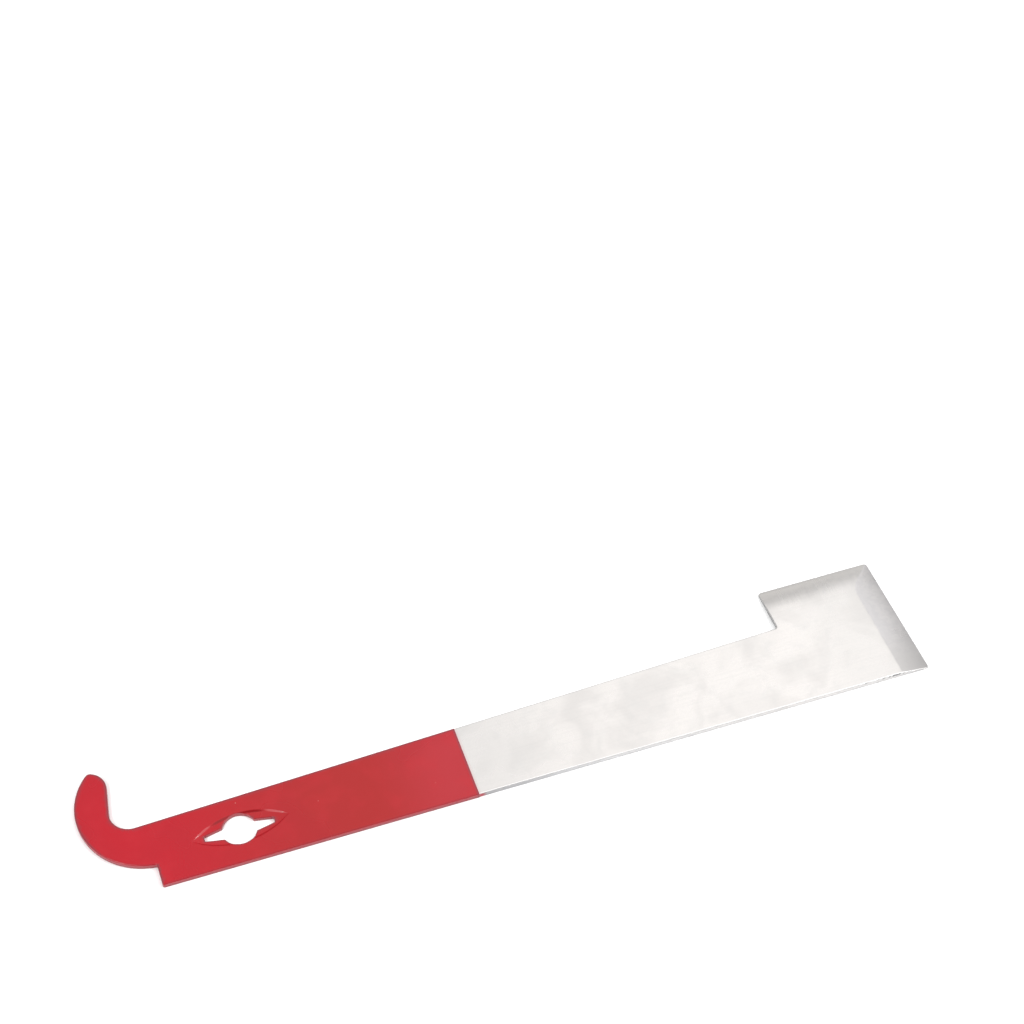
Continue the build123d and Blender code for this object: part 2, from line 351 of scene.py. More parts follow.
def end_bevel_drop(x, y):
    """Convex face that leaves the top face at a slightly rubbed line."""
    soft = END_LINE_SOFTNESS
    t = np.clip(end_bevel_share(x, y), -soft, 1.1)
    t = np.where(t < soft, (t + soft) ** 2 / (4 * soft), t)
    return BEVEL_DROP * t - 4 * END_BEVEL_BULGE * t * (1 - t)


SIDE_STEPS = np.linspace(0, 1.1, 45)
SIDE_SLOPE = 0.18 + smooth(0.08, 0.74, SIDE_STEPS)
SIDE_FALL = np.r_[0, np.cumsum((SIDE_SLOPE[1:] + SIDE_SLOPE[:-1]) / 2)] * SIDE_STEPS[1]
SIDE_FALL = SIDE_FALL / np.interp(1, SIDE_STEPS, SIDE_FALL)


def side_bevel_drop(x, y):
    """Face that rolls softly off the top face, then runs straight to the edge."""
    t = np.clip(side_bevel_share(x, y), 0, 1.1)
    return BEVEL_DROP * np.interp(t, SIDE_STEPS, SIDE_FALL)


def lens_half_width(u, size):
    """Half the width of a lens, at a distance along it."""
    length, width = size
    radius = (length**2 + width**2) / (2 * width)
    return np.sqrt(np.maximum(radius**2 - u**2, 0)) - (radius - width)


def along_relief(x, y):
    """Distances along and across the recess from its middle."""
    c, s = math.cos(math.radians(RELIEF_TILT)), math.sin(math.radians(RELIEF_TILT))
    u = (x - RELIEF[0]) * c + (y - RELIEF[1]) * s
    v = (y - RELIEF[1]) * c - (x - RELIEF[0]) * s
    return u, v


def relief_drop(x, y):
    """Depth of the shallow pressed recess round the nail hole."""
    u, v = along_relief(x, y)
    rim = lens_half_width(u, RELIEF_RIM)
    floor = lens_half_width(u, RELIEF_FLOOR)
    share = np.where(np.abs(u) < RELIEF_RIM[0], (rim - np.abs(v)) / (rim - floor), 0)
    soft = RELIEF_WALL_SOFTNESS
    lip = smooth(-soft, 1 + soft, 0)
    fading = smooth(RELIEF_FADE_FROM * RELIEF_RIM[0], RELIEF_RIM[0], np.abs(u))
    shallower = 1 - RELIEF_TIP_FADE * fading
    return RELIEF_DEPTH * shallower * np.maximum(smooth(-soft, 1 + soft, share) - lip, 0) / (1 - lip)


def relief_wall(x, y):
    """Weights on the upper wall of the recess: painted shade next to the hole, and a painted
    highlight toward the tips.
    """
    u, v = along_relief(x, y)
    share = (lens_half_width(u, RELIEF_RIM) - v) / (RELIEF_RIM[1] - RELIEF_FLOOR[1])
    across = smooth(-0.1, 0.3, share) * (1 - smooth(0.7, 1.3, share))
    beside_hole = across * (1 - smooth(6.0, 9.0, np.abs(u)))
    near_rim = smooth(-0.1, 0.2, share) * (1 - smooth(0.4, 0.9, share))
    toward_tips = near_rim * smooth(7.5, 10.0, np.abs(u)) * (1 - smooth(11.0, 14.5, np.abs(u)))
    return beside_hole, toward_tips


def top_z(x, y):
    """Height of the bare top face."""
    return TOP - np.maximum(end_bevel_drop(x, y), side_bevel_drop(x, y)) - relief_drop(x, y)


def paint_line_x(y):
    return PAINT_LINE_X - y * tan_deg(PAINT_LINE_SLANT)


# ---------------------------------------- shells
# A shell is a set of points on the bare plate with the direction that faces out of it.


def edge_levels(verge):
    """Levels from the underside up: side, angle or share of the wall, and support step."""
    levels = [("under", 0, SUPPORT)]
    levels += [("under", a, 0) for a in (0, 22.5, 45, 67.5, 90)]
    levels += [("wall", 0.2, 0), ("wall", 1, 0)]
    levels += [("top", a, 0) for a in (90, 72, 54, 36, 18, 0)]
    levels += [("top", 0, verge)]
    return levels


def moved_in(rows, inset):
    """An outline's points moved into the steel."""
    return rows[:, 0] - inset * rows[:, 2], rows[:, 1] - inset * rows[:, 3]


# A level is its inset from the outline, its height, the slope of its facing and its weights.


def under_level(angle, extra, radius):
    """One level of the rounding on the underside."""
    sine, cosine = math.sin(math.radians(angle)), math.cos(math.radians(angle))
    z = UNDERSIDE + radius * (1 - cosine)
    return radius * (1 - sine) + extra, z, (sine, -cosine), [sine, 0, 1, 0, 0]


def wall_level(share, low, high, nick):
    """One level of the upright wall between the two roundings."""
    ease = np.minimum(0.05, 0.3 * (high - low))
    z = low + ease + share * (high - low - 2 * ease)
    foot = 1 - min(1, 2 * share)
    return nick * (0.25 + 0.5 * share), z, (1, 0), [1, 0, foot, float(share == 1), 0]


def top_level(rows, angle, extra, radius, verge, nick):
    """One level of the rounding on the top, or of the verge inside it."""
    sine, cosine = math.sin(math.radians(angle)), math.cos(math.radians(angle))
    inset = radius * (1 - sine) + extra
    worn = nick * (1 - np.clip(inset / (EDGE_RADIUS + verge), 0, 1))
    inset = inset + worn
    z = top_z(*moved_in(rows, inset)) - radius * (1 - cosine) - NICK_SINK * worn
    # rim weight: a rubbed rim with painted highlight on the steel, painted shade on the coat; back
    # is the far-rim weight, painted shade on rims facing away from the front
    rim = 0 if extra else min(1, 1.6 * cosine)
    back = 0.55 if extra else rim
    return inset, z, (sine, cosine), [sine**8, rim, 0, float(angle >= 54), back]


def edge_band(rows, top_radius, under_radius, verge, nick=0):
    """Points, outward directions and weights of the rounded edge on an outline: finish weights, and
    rim weights that place painted highlight and shade.
    """
    places, facings, weights = [], [], []
    count = len(rows)
    # away is 1 where an edge does not face the front (-y); there the rim weight gives way to the
    # far-rim weight, which places painted shade
    away = smooth(-0.85, -0.3, rows[:, 3])
    low = UNDERSIDE + under_radius
    high = top_z(rows[:, 0], rows[:, 1]) - top_radius
    for side, step, extra in edge_levels(verge):
        if side == "under":
            level = under_level(step, extra, under_radius)
        elif side == "wall":
            level = wall_level(step, low, high, nick)
        else:
            level = top_level(rows, step, extra, top_radius, verge, nick)
        inset, z, slope, shares = level
        places.append(np.c_[(*moved_in(rows, inset), np.broadcast_to(z, count))])
        facings.append(np.c_[slope[0] * rows[:, 2:], np.full(count, slope[1])])
        shares = np.tile(np.array(shares, float), (count, 1))
        shares[:, WEIGHTS.index("rim")] *= 1 - away
        shares[:, WEIGHTS.index("far_rim_shade")] *= away
        weights.append(shares)
    return np.array(places), np.array(facings), np.array(weights)


def strip_faces(levels, count, base, closed):
    """Quads between neighbouring levels of an edge band."""
    i = np.arange(count if closed else count - 1)
    j = (i + 1) % count
    faces = []
    for k in range(levels - 1):
        low, high = base + k * count, base + (k + 1) * count
        faces.append(np.c_[low + i, low + j, high + j, high + i])
    return np.vstack(faces)


def inside(points, loop):
    """Which points lie inside a closed loop."""
    x, y = points[:, :1], points[:, 1:2]
    ax, ay = loop[:, 0][None], loop[:, 1][None]
    bx, by = np.roll(loop[:, 0], -1)[None], np.roll(loop[:, 1], -1)[None]
    with np.errstate(divide="ignore", invalid="ignore"):
        cross = (ay > y) != (by > y)
        left = x < (bx - ax) * (y - ay) / (by - ay) + ax
    return np.sum(cross & left, axis=1) % 2 == 1


def far_from(points, others, gap):
    """Which points keep at least a gap from every one of the others."""
    keep = np.ones(len(points), bool)
    for start in range(0, len(points), 2000):
        part = points[start : start + 2000]
        dx = part[:, None, 0] - others[None, :, 0]
        dy = part[:, None, 1] - others[None, :, 1]
        near = dx**2 + dy**2
        keep[start : start + 2000] = near.min(axis=1) > gap**2
    return keep


def triangles(loops, free):
    """Triangles inside the first loop and outside the others, over their points and free ones."""
    coords = np.vstack(loops + [free])
    edges, base = [], 0
    for loop in loops:
        edges += [(base + i, base + (i + 1) % len(loop)) for i in range(len(loop))]
        base += len(loop)
    flat = [Vector((float(x), float(y))) for x, y in coords]
    made = geometry.delaunay_2d_cdt(flat, edges, [], 0, 1e-7)
    source = np.array([origin[0] for origin in made[3]])
    faces = source[np.array(made[2])]
    return faces[within_loops(coords, faces, edges, loops)]


def within_loops(coords, faces, edges, loops):
    """The triangles reached from the largest one in the region without crossing a loop."""
    a, b, c = (coords[faces[:, k]] for k in range(3))
    area = (b[:, 0] - a[:, 0]) * (c[:, 1] - a[:, 1]) - (b[:, 1] - a[:, 1]) * (c[:, 0] - a[:, 0])
    region = inside(coords[faces].mean(axis=1), loops[0])
    for loop in loops[1:]:
        region &= ~inside(coords[faces].mean(axis=1), loop)
    walls = {frozenset(edge) for edge in edges}
    beside = {}
    for k, face in enumerate(faces.tolist()):
        for pair in ((face[0], face[1]), (face[1], face[2]), (face[2], face[0])):
            beside.setdefault(frozenset(pair), []).append(k)
    across = [[] for _ in faces]
    for pair, owners in beside.items():
        if pair not in walls and len(owners) == 2:
            across[owners[0]].append(owners[1])
            across[owners[1]].append(owners[0])
    start = int(np.argmax(np.where(region, area, 0)))
    reached, waiting = {start}, [start]
    while waiting:
        for other in across[waiting.pop()]:
            if other not in reached:
                reached.add(other)
                waiting.append(other)
    return sorted(reached)


def grid(low, high, step):
    """Evenly staggered points over a rectangle."""
    ys = np.arange(low[1], high[1], step * 0.866)
    xs = np.arange(low[0], high[0], step)
    x, y = np.meshgrid(xs, ys)
    x = x + (np.arange(len(ys)) % 2)[:, None] * step / 2
    return np.c_[x.ravel(), y.ravel()]


def relief_rows():
    """Points that follow the wall of the relief closely."""
    rows = []
    c, s = math.cos(math.radians(RELIEF_TILT)), math.sin(math.radians(RELIEF_TILT))
    tip = np.arange(12, RELIEF_RIM[0] + 0.01, 0.13)
    u = np.r_[-tip[::-1], np.arange(-11.7, 11.8, 0.3), tip]
    rim, floor = lens_half_width(u, RELIEF_RIM), lens_half_width(u, RELIEF_FLOOR)
    for share in (-0.25, 0, 0.17, 0.34, 0.5, 0.66, 0.83, 1.0, 1.25):
        v = rim + share * (floor - rim)
        for sign in (1, -1):
            w = sign * v[v > 0.07]
            t = u[v > 0.07]
            rows.append(np.c_[RELIEF[0] + t * c - w * s, RELIEF[1] + t * s + w * c])
    for t in (tip, -tip):
        rows.append(np.c_[RELIEF[0] + t * c, RELIEF[1] + t * s])
    return np.vstack(rows)


def bevel_rows():
    """Points in rows that follow the inner lines of the two bevels, and their mitre."""
    rows = []
    close = [-0.6, -0.42, -0.28, -0.14, 0, 0.14, 0.28, 0.42, 0.7]
    offsets = close + list(np.arange(1.2, 12, 0.55))
    y = np.arange(0, HEAD_EDGE_Y, BEVEL_STEP)
    for offset in offsets:
        x = end_inner_x(y) + offset
        own = end_bevel_drop(x, y) >= side_bevel_drop(x, y)
        rows.append(np.c_[x, y][own])
    x = np.arange(HEAD_INNER_X_AT_EDGE - 1, PLATE_LENGTH, BEVEL_STEP)
    for offset in offsets:
        y = side_inner_y(x) + offset
        own = side_bevel_drop(x, y) > end_bevel_drop(x, y)
        rows.append(np.c_[x, y][own])
    mitre = mitre_line()
    rows = np.vstack(rows)
    rows = rows[far_from(rows, mitre, 0.2)]
    return np.vstack([rows, mitre])


def mitre_line():
    """The crease where the two bevels meet, from their inner lines to the head's corner."""
    xs = np.linspace(END_BEVEL_X_AT_MITRE - 2, PLATE_LENGTH, 900)
    line = []
    for y in np.arange(SIDE_BEVEL_Y_AT_MITRE, HEAD_EDGE_Y, 0.3):
        ys = np.full(len(xs), y)
        meets = np.argmax(end_bevel_drop(xs, ys) > side_bevel_drop(xs, ys))
        line.append((xs[meets], y))
    return np.array(line)


def with_midpoints(loop):
    """A loop's points and the middles of its edges, so that no free point lands on an edge."""
    return np.vstack([loop, (loop + np.roll(loop, -1, axis=0)) / 2])


def free_points(loops, fine, step, guard, others):
    """Free points for a face: fine ones where its shape needs them, an even grid elsewhere.
    They keep clear of the guard points, and grid points also of the others."""
    around = np.vstack(loops)
    wide = grid(around.min(axis=0), around.max(axis=0), step)
    if len(others):
        wide = wide[far_from(wide, others, 0.5 * step)]
    wide = np.vstack([fine, wide])
    keep = inside(wide, loops[0])
    for loop in loops[1:]:
        keep &= ~inside(wide, loop)
    wide = wide[keep]
    return wide[far_from(wide, guard, FREE_POINT_GAP)]


def new_mesh(name, points, faces, layers):
    """An object from points in drawing millimetres, with its point attributes."""
    mesh = bpy.data.meshes.new(name)
    world = (points + [DRAWING_X, DRAWING_Y, 0]) * MM
    mesh.from_pydata(world.tolist(), [], [list(map(int, f)) for f in faces])
    for layer, values in layers.items():
        attribute = mesh.attributes.new(layer, "FLOAT", "POINT")
        attribute.data.foreach_set("value", np.asarray(values, np.float32))
    mesh.polygons.foreach_set("use_smooth", [True] * len(mesh.polygons))
    mesh.set_sharp_from_angle(angle=math.radians(SHARP_ANGLE))
    mesh.update()
    piece = bpy.data.objects.new(name, mesh)
    bpy.context.scene.collection.objects.link(piece)
    return piece


def edge_softness(rows):
    """Top edge radius along the outline: small where a bevel is ground right to the edge."""
    drop = TOP - top_z(rows[:, 0], rows[:, 1])
    along = np.r_[0, np.cumsum(np.hypot(*np.diff(rows[:, :2], axis=0).T))]
    worn = EDGE_RADIUS * (1 + EDGE_WEAR * wander(along, EDGE_WEAR_PERIOD, 3.0))
    return np.clip(worn - 0.8 * drop, CUTTING_EDGE_RADIUS, None)


def nicks(rows):
    """How far small dents push in the top of the bare lower edge."""
    depth = np.zeros(len(rows))
    low_edge = rows[:, 3] < -0.9
    for x, reach, deep in NICKS:
        depth += low_edge * deep * np.exp(-(((rows[:, 0] - x) / reach) ** 2))
    return depth


def finer_lower_edge(rows):
    """The outline with the nicked stretch of the lower edge cut into shorter steps."""
    out = []
    for k in range(len(rows)):
        out.append(rows[k])
        after = rows[(k + 1) % len(rows)]
        if rows[k, 3] < -0.99 and after[3] < -0.99 and rows[k, 0] > NICKED_FROM_X:
            out.append((rows[k] + after) / 2)
    return np.array(out)


def face_ids(level, count, hole_count, levels, line_ids, free_ids):
    """Point numbers of a face: its edge, the paint line if it has one, the hole, free ones."""
    hole_first = levels * count + level * hole_count
    edge = level * count + np.arange(count)
    return np.r_[edge, line_ids, hole_first + np.arange(hole_count), free_ids]


def face_z(points, top):
    """Heights of points on the plate's top face or on its underside."""
    return top_z(points[:, 0], points[:, 1]) if top else np.full(len(points), UNDERSIDE)


def both_bands(outer, hole, nick=0):
    """The edge bands of an outline and of the nail hole."""
    band = edge_band(outer, edge_softness(outer), UNDERSIDE_EDGE_RADIUS, VERGE, nick)
    return band, edge_band(hole, HOLE_EDGE_RADIUS, HOLE_EDGE_RADIUS, SUPPORT)


def spread_weights(total, weight, hole_weight):
    """Finish and painted-light weights of all points: those of the two bands, and none on the flat
    faces.
    """
    on_bands = np.vstack([weight.reshape(-1, len(WEIGHTS)), hole_weight.reshape(-1, len(WEIGHTS))])
    none = np.zeros((total - len(on_bands), len(WEIGHTS)))
    return dict(zip(WEIGHTS, np.vstack([on_bands, none]).T))


def steel_piece():
    """The whole bare plate as one closed mesh."""
    outer, hole = finer_lower_edge(plate_outline()), nail_outline()
    worn = nicks(outer)
    (band, _, weight), (hole_band, _, hole_weight) = both_bands(outer, hole, worn)
    levels, count, hole_count = len(band), len(outer), len(hole)
    points = [band.reshape(-1, 3), hole_band.reshape(-1, 3)]
    faces = [strip_faces(levels, count, 0, True)]
    faces.append(strip_faces(levels, hole_count, levels * count, True))
    base = levels * (count + hole_count)
    for top, level, step in ((True, levels - 1, STEEL_TOP_STEP), (False, 0, STEEL_UNDERSIDE_STEP)):
        loops = [band[level][:, :2], hole_band[level][:, :2]]
        fine = np.vstack([relief_rows(), bevel_rows()]) if top else np.empty((0, 2))
        guard = np.vstack([with_midpoints(loop) for loop in loops])
        free = free_points(loops, fine, step, guard, fine)
        free_ids = base + np.arange(len(free))
        ids = face_ids(level, count, hole_count, levels, np.arange(0), free_ids)
        made = ids[triangles(loops, free)]
        faces.append(made if top else made[:, ::-1])
        points.append(np.c_[free, face_z(free, top)])
        base += len(free)
    points = np.vstack(points)
    faces = [f for group in faces for f in group]
    layers = steel_layers(points, outer, worn, weight, hole_weight)
    return new_mesh("ground_plate", points, faces, layers)


def steel_layers(points, outer, worn, weight, hole_weight):
    """Point attributes that place the steel's finishes and its painted highlight and shade."""
    x, y, z = points.T
    levels = len(weight)
    on_band = levels * len(outer)
    shares = spread_weights(len(points), weight, hole_weight)
    # the notch weight places painted shade on the notch's wall
    in_notch = (outer[:, 2] < -0.6) & (outer[:, 0] > HEAD_LEFT_LIMIT)
    dent, notch = np.zeros(len(points)), np.zeros(len(points))
    # the dent weight places painted shade in the nicks
    dent[:on_band] = (np.tile(worn, (levels, 1)) * weight[..., WEIGHTS.index("upper")]).ravel()
    notch[:on_band] = (np.tile(in_notch, (levels, 1)) * weight[..., WEIGHTS.index("wall")]).ravel()
    end = np.clip(end_bevel_share(x, y), 0, 1)
    side = np.clip(side_bevel_share(x, y), 0, 1)
    owner = end_bevel_drop(x, y) >= side_bevel_drop(x, y)
    above = z > UNDERSIDE + 0.3
    return {
        "wall": shares["wall"],
        "rim": shares["rim"],
        "far_rim_shade": shares["far_rim_shade"],
        "dent": np.clip(dent / FULL_NICK, 0, 1),
        "notch": notch,
        "end_ground": np.where(owner, end, 0) * above,
        "side_ground": np.where(owner, 0, side) * above,
    }


def coated_run():
    """The part of the outline that the coat covers, from the upper end of the paint line
    round the hook to its lower end, with close steps next to the line."""
    outer = plate_outline()
    ahead = paint_line_x(outer[:, 1]) - outer[:, 0]
    start = np.argmax((outer[:, 3] > 0.9) & (ahead > 0.6) & (outer[:, 0] > 60))
    outer, ahead = np.roll(outer, -start, axis=0), np.roll(ahead, -start)
    covered = outer[: np.argmax((outer[:, 3] < -0.9) & (ahead < 0.6))]
    upper = []
    for gap in LIP_ROWS:
        px = paint_line_x(bar_edge_y(PAINT_LINE_X)) - gap
        upper.append([px, bar_edge_y(px), *covered[0, 2:]])
    lower = [[paint_line_x(0) - gap, 0, *covered[-1, 2:]] for gap in LIP_ROWS[::-1]]
    return np.vstack([upper, covered, lower])


def on_paint_line(points, count):
    """Moves the first and last columns of a band on to lines parallel to the paint line."""
    for k, gap in enumerate(LIP_ROWS):
        for column in (k, count - 1 - k):
            points[:, column, 0] = paint_line_x(points[:, column, 1]) - gap
    return points


def coat_thickness(x, y):
    """Full thickness away from the paint line, rounding off to a thin lip at it."""
    ahead = np.clip((paint_line_x(y) - x) / LIP_WIDTH, 0, 1)
    return LIP_EDGE + (COAT - LIP_EDGE) * np.sqrt(np.clip(1 - (1 - ahead) ** 2, 0, 1))


def coat_face(edge, hole_loop, top):
    """One flat face of the coat: its loops, its points along the paint line, its free ones."""
    across = np.linspace(edge[-1, 1], edge[0, 1], PAINT_LINE_COLUMNS)[1:-1]
    line = np.c_[paint_line_x(across), across]
    rows = [np.c_[paint_line_x(across) - gap, across] for gap in LIP_ROWS[1:]]
    if top:
        rows.append(relief_rows())
    fine = np.vstack(rows)
    guard = np.vstack([with_midpoints(edge), with_midpoints(hole_loop)])
    guard = guard[guard[:, 0] < PAINT_LINE_X - 6]
    loops = [np.vstack([edge, line]), hole_loop]
    step = COAT_TOP_STEP if top else COAT_UNDERSIDE_STEP
    return loops, line, free_points(loops, fine, step, guard, np.vstack([fine, line]))


def two_skins(faces, total):
    """Faces of an outer skin, its lining, and the strips that join them along the rims."""
    faces = [tuple(map(int, f)) for group in faces for f in group]
    used = set()
    for face in faces:
        used.update(zip(face, face[1:] + face[:1]))
    rims = sorted((a, b) for a, b in used if (b, a) not in used)
    lining = [tuple(v + total for v in face[::-1]) for face in faces]
    return faces + lining + [(b, a, a + total, b + total) for a, b in rims]


def coat_piece():
    """The coat: an outer skin, a lining against the steel, and the lip that joins them."""
    outer, hole = coated_run(), nail_outline()
    (band, facing, weight), (hole_band, hole_facing, hole_weight) = both_bands(outer, hole)
    levels, count, hole_count = len(band), len(outer), len(hole)
    band = on_paint_line(band, count)
    points = [band.reshape(-1, 3), hole_band.reshape(-1, 3)]
    facings = [facing.reshape(-1, 3), hole_facing.reshape(-1, 3)]
    faces = [strip_faces(levels, count, 0, False)]
    faces.append(strip_faces(levels, hole_count, levels * count, True))
    base = levels * (count + hole_count)
    for top, level in ((True, levels - 1), (False, 0)):
        loops, line, free = coat_face(band[level][:, :2], hole_band[level][:, :2], top)
        line_ids = base + np.arange(len(line))
        free_ids = base + len(line) + np.arange(len(free))
        ids = face_ids(level, count, hole_count, levels, line_ids, free_ids)
        made = ids[triangles(loops, free)]
        faces.append(made if top else made[:, ::-1])
        flat = np.vstack([line, free])
        points.append(np.c_[flat, face_z(flat, top)])
        facings.append(np.tile([0, 0, 1 if top else -1], (len(flat), 1)))
        base += len(flat)
    points, facings = np.vstack(points), np.vstack(facings)
    thick = coat_thickness(points[:, 0], points[:, 1])[:, None]
    skins = np.vstack([points + thick * facings, points + COAT_GAP * facings])
    layers = coat_layers(points, facings, weight, hole_weight)
    return new_mesh("red_coat", skins, two_skins(faces, len(points)), layers)


def coat_layers(points, facings, weight, hole_weight):
    """Point attributes that place the coat's finishes and its painted shade, reflection and
    highlight, the same on both of its skins.
    """
    layers = spread_weights(len(points), weight, hole_weight)
    layers.pop("upper")
    # crease places painted shade beside the hole and glint a painted highlight toward the tips, on
    # the relief's upper wall
    crease, glint = relief_wall(points[:, 0], points[:, 1])
    looks_up = facings[:, 2] > 0.9
    layers["crease"] = crease * looks_up
    layers["glint"] = glint * looks_up
    return {name: np.r_[values, values] for name, values in layers.items()}


# ---------------------------------------- materials

# colours of the steel
STEEL = (0.75, 0.721, 0.699)
SMEARED = (0.65, 0.63, 0.615)
HANDLED = (0.65, 0.632, 0.618)
HEAD_TONE = (0.68, 0.66, 0.642)
BLOTTED = (0.66, 0.645, 0.63)
SPECKLED = (0.62, 0.61, 0.6)
GRAINED = (0.6, 0.59, 0.58)
GRINDING_LINE = (0.6, 0.585, 0.57)
MOTTLED = (0.52, 0.512, 0.515)
END_BEVEL = (0.775, 0.752, 0.757)
# painted shade on the end bevel toward the tip and beside its inner line
END_BEVEL_SHADE_BY_TIP = (0.555, 0.54, 0.53)
END_BEVEL_SHADE_BY_LINE = (0.635, 0.62, 0.625)
# painted shade and highlight on the side bevel's roll, its outer part and its edge
ROLL_SHADE_BY_NOTCH = (0.59, 0.575, 0.56)
ROLL_HIGHLIGHT_BY_MITRE = (0.86, 0.835, 0.82)
SIDE_BEVEL_OUTER_HIGHLIGHT = (0.835, 0.805, 0.772)
SIDE_BEVEL_EDGE_SHADE = (0.69, 0.665, 0.645)
# rubbed rim with a painted highlight, on the steel's top rims that face the front
RUBBED_RIM_AND_HIGHLIGHT = (0.9, 0.89, 0.885)
# painted shade on the steel's top rims that face away from the front
SHADED_FAR_RIM = (0.62, 0.61, 0.605)
SIDE_WALL = (0.59, 0.59, 0.596)
WALL_STREAK = (0.42, 0.42, 0.42)
WALL_BY_PAINT = (0.3, 0.295, 0.305)
# painted shade on the wall of the notch
NOTCH_WALL_SHADE = (0.33, 0.33, 0.335)
CREPT_PAINT = (0.42, 0.03, 0.05)
RED_MIST = (0.62, 0.3, 0.3)
# painted shade in the nicks along the lower edge
NICK_SHADE = (0.2, 0.2, 0.205)

# colours of the coat
RED_AT_HOOK = (0.41, 0.0005, 0.01)
# painted shade mid-bar, and a painted reflection toward the paint line
RED_MIDDLE_SHADE = (0.341, 0.0085, 0.0095)
RED_BY_LINE_REFLECTION = (0.39, 0.0165, 0.025)
RED_UNEVEN = (0.33, 0.004, 0.012)
RED_PATCH = (0.48, 0.012, 0.022)
# painted shade: a dark outline on the coat's top rims that face the front
RED_RIM_SHADE = (0.19, 0.024, 0.034)
# painted shade on the coat's top rims that face away from the front
RED_FAR_RIM_SHADE = (0.19, 0.034, 0.046)
# painted reflection: a whiter red on the coat's side walls
RED_WALL_REFLECTION = (0.4, 0.05, 0.066)
# painted shadow at the foot of the coat's side walls
RED_FOOT_SHADOW = (0.2, 0.045, 0.055)
# painted shade on the relief's upper wall beside the hole
RED_RELIEF_SHADE = (0.215, 0.0, 0.003)
RED_GLINT = (0.56, 0.11, 0.12)
RED_BEAD = (0.19, 0.04, 0.055)
DUST = (0.72, 0.36, 0.32)

# stretches over which a finish comes or goes, in metres from the origin
HANDLED_X = (-0.012, 0.024)
HEAD_TONE_X = (0.094, 0.112)
ROLL_BY_NOTCH_X = (0.096, 0.108)
ROLL_BY_MITRE_X = (0.106, 0.118)
SIDE_OUTER_X = (0.103, 0.118)
WALL_X = (0, 0.1)
WALL_BY_PAINT_X = (-0.012, 0.03)
TIP_Y = (-0.022, 0)
BESIDE_LINE_Y = (-0.014, -0.005)
RED_HOOK_X = (-0.115, -0.055)
RED_LINE_X = (-0.045, -0.018)

# stretches beyond the paint line, in metres
MIST_REACH = (0.0, 0.0011)
CREPT_REACH = (0.0008, 0.0026)
BEAD_RISE = (-0.00095, -0.00035)
BEAD_FALL = (-0.0003, 0.0001)

# scale, detail and distortion of the steel's noises
STEEL_CLOUDS = {
    "smears": (68, 3, 0.6),
    "blots": (210, 2, 0.4),
    "mottle": (620, 2, 0.4),
    "speckle": (1100, 1),
}

# scale of the grinding lines' noise across and along them
FINE, LONG = 1500, 90


def new_material(name):
    material = bpy.data.materials.new(name)
    material.use_nodes = True
    tree = material.node_tree
    return material, tree, tree.nodes["Principled BSDF"]


def coordinates(tree):
    return tree.nodes.new("ShaderNodeTexCoord").outputs["Object"]


def stretched(tree, coords, scale):
    """Object coordinates scaled apart, for lines that run one way."""
    n = tree.nodes.new("ShaderNodeMapping")
    n.inputs["Scale"].default_value = scale
    tree.links.new(coords, n.inputs["Vector"])
    return n.outputs[0]


def cloud(tree, coords, scale, detail=2.0, distortion=0.0):
    n = tree.nodes.new("ShaderNodeTexNoise")
    n.inputs["Scale"].default_value = scale
    n.inputs["Detail"].default_value = detail
    n.inputs["Distortion"].default_value = distortion
    tree.links.new(coords, n.inputs["Vector"])
    return n.outputs["Fac"]


def attribute(tree, name):
    n = tree.nodes.new("ShaderNodeAttribute")
    n.attribute_name = name
    return n.outputs["Fac"]


def ramp(tree, source, low, high, to_low, to_high, smooth_ends=True):
    """A source's span from low to high carried to another, level at both ends or straight."""
    n = tree.nodes.new("ShaderNodeMapRange")
    n.interpolation_type = "SMOOTHSTEP" if smooth_ends else "LINEAR"
    n.inputs["From Min"].default_value = low
    n.inputs["From Max"].default_value = high
    n.inputs["To Min"].default_value = to_low
    n.inputs["To Max"].default_value = to_high
    tree.links.new(source, n.inputs["Value"])
    return n.outputs["Result"]


def combine(tree, operation, a, b):
    n = tree.nodes.new("ShaderNodeMath")
    n.operation = operation
    tree.links.new(a, n.inputs[0])
    tree.links.new(b, n.inputs[1])
    return n.outputs[0]


def times(tree, a, b):
    return combine(tree, "MULTIPLY", a, b)


def add(tree, a, b):
    return combine(tree, "ADD", a, b)


def tint(tree, colour, share, toward):
    """A colour carried toward a fixed one by a share."""
    n = tree.nodes.new("ShaderNodeMix")
    n.data_type = "RGBA"
    n.clamp_factor = True
    tree.links.new(share, n.inputs["Factor"])
    if isinstance(colour, tuple):
        n.inputs["A"].default_value = (*colour, 1)
    else:
        tree.links.new(colour, n.inputs["A"])
    n.inputs["B"].default_value = (*toward, 1)
    return n.outputs["Result"]


def bump(tree, height, strength, depth, after=None):
    n = tree.nodes.new("ShaderNodeBump")
    n.inputs["Strength"].default_value = strength
    n.inputs["Distance"].default_value = depth
    tree.links.new(height, n.inputs["Height"])
    if after:
        tree.links.new(after, n.inputs["Normal"])
    return n.outputs["Normal"]


def past_paint_line(tree, coords):
    """Metres beyond the paint line, from the object coordinates."""
    n = tree.nodes.new("ShaderNodeVectorMath")
    n.operation = "DOT_PRODUCT"
    n.inputs[1].default_value = (1, tan_deg(PAINT_LINE_SLANT), 0)
    tree.links.new(coords, n.inputs[0])
    shift = tree.nodes.new("ShaderNodeMath")
    shift.operation = "SUBTRACT"
    start = PAINT_LINE_X + DRAWING_X + DRAWING_Y * tan_deg(PAINT_LINE_SLANT)
    shift.inputs[1].default_value = start * MM
    tree.links.new(n.outputs["Value"], shift.inputs[0])
    return shift.outputs[0]


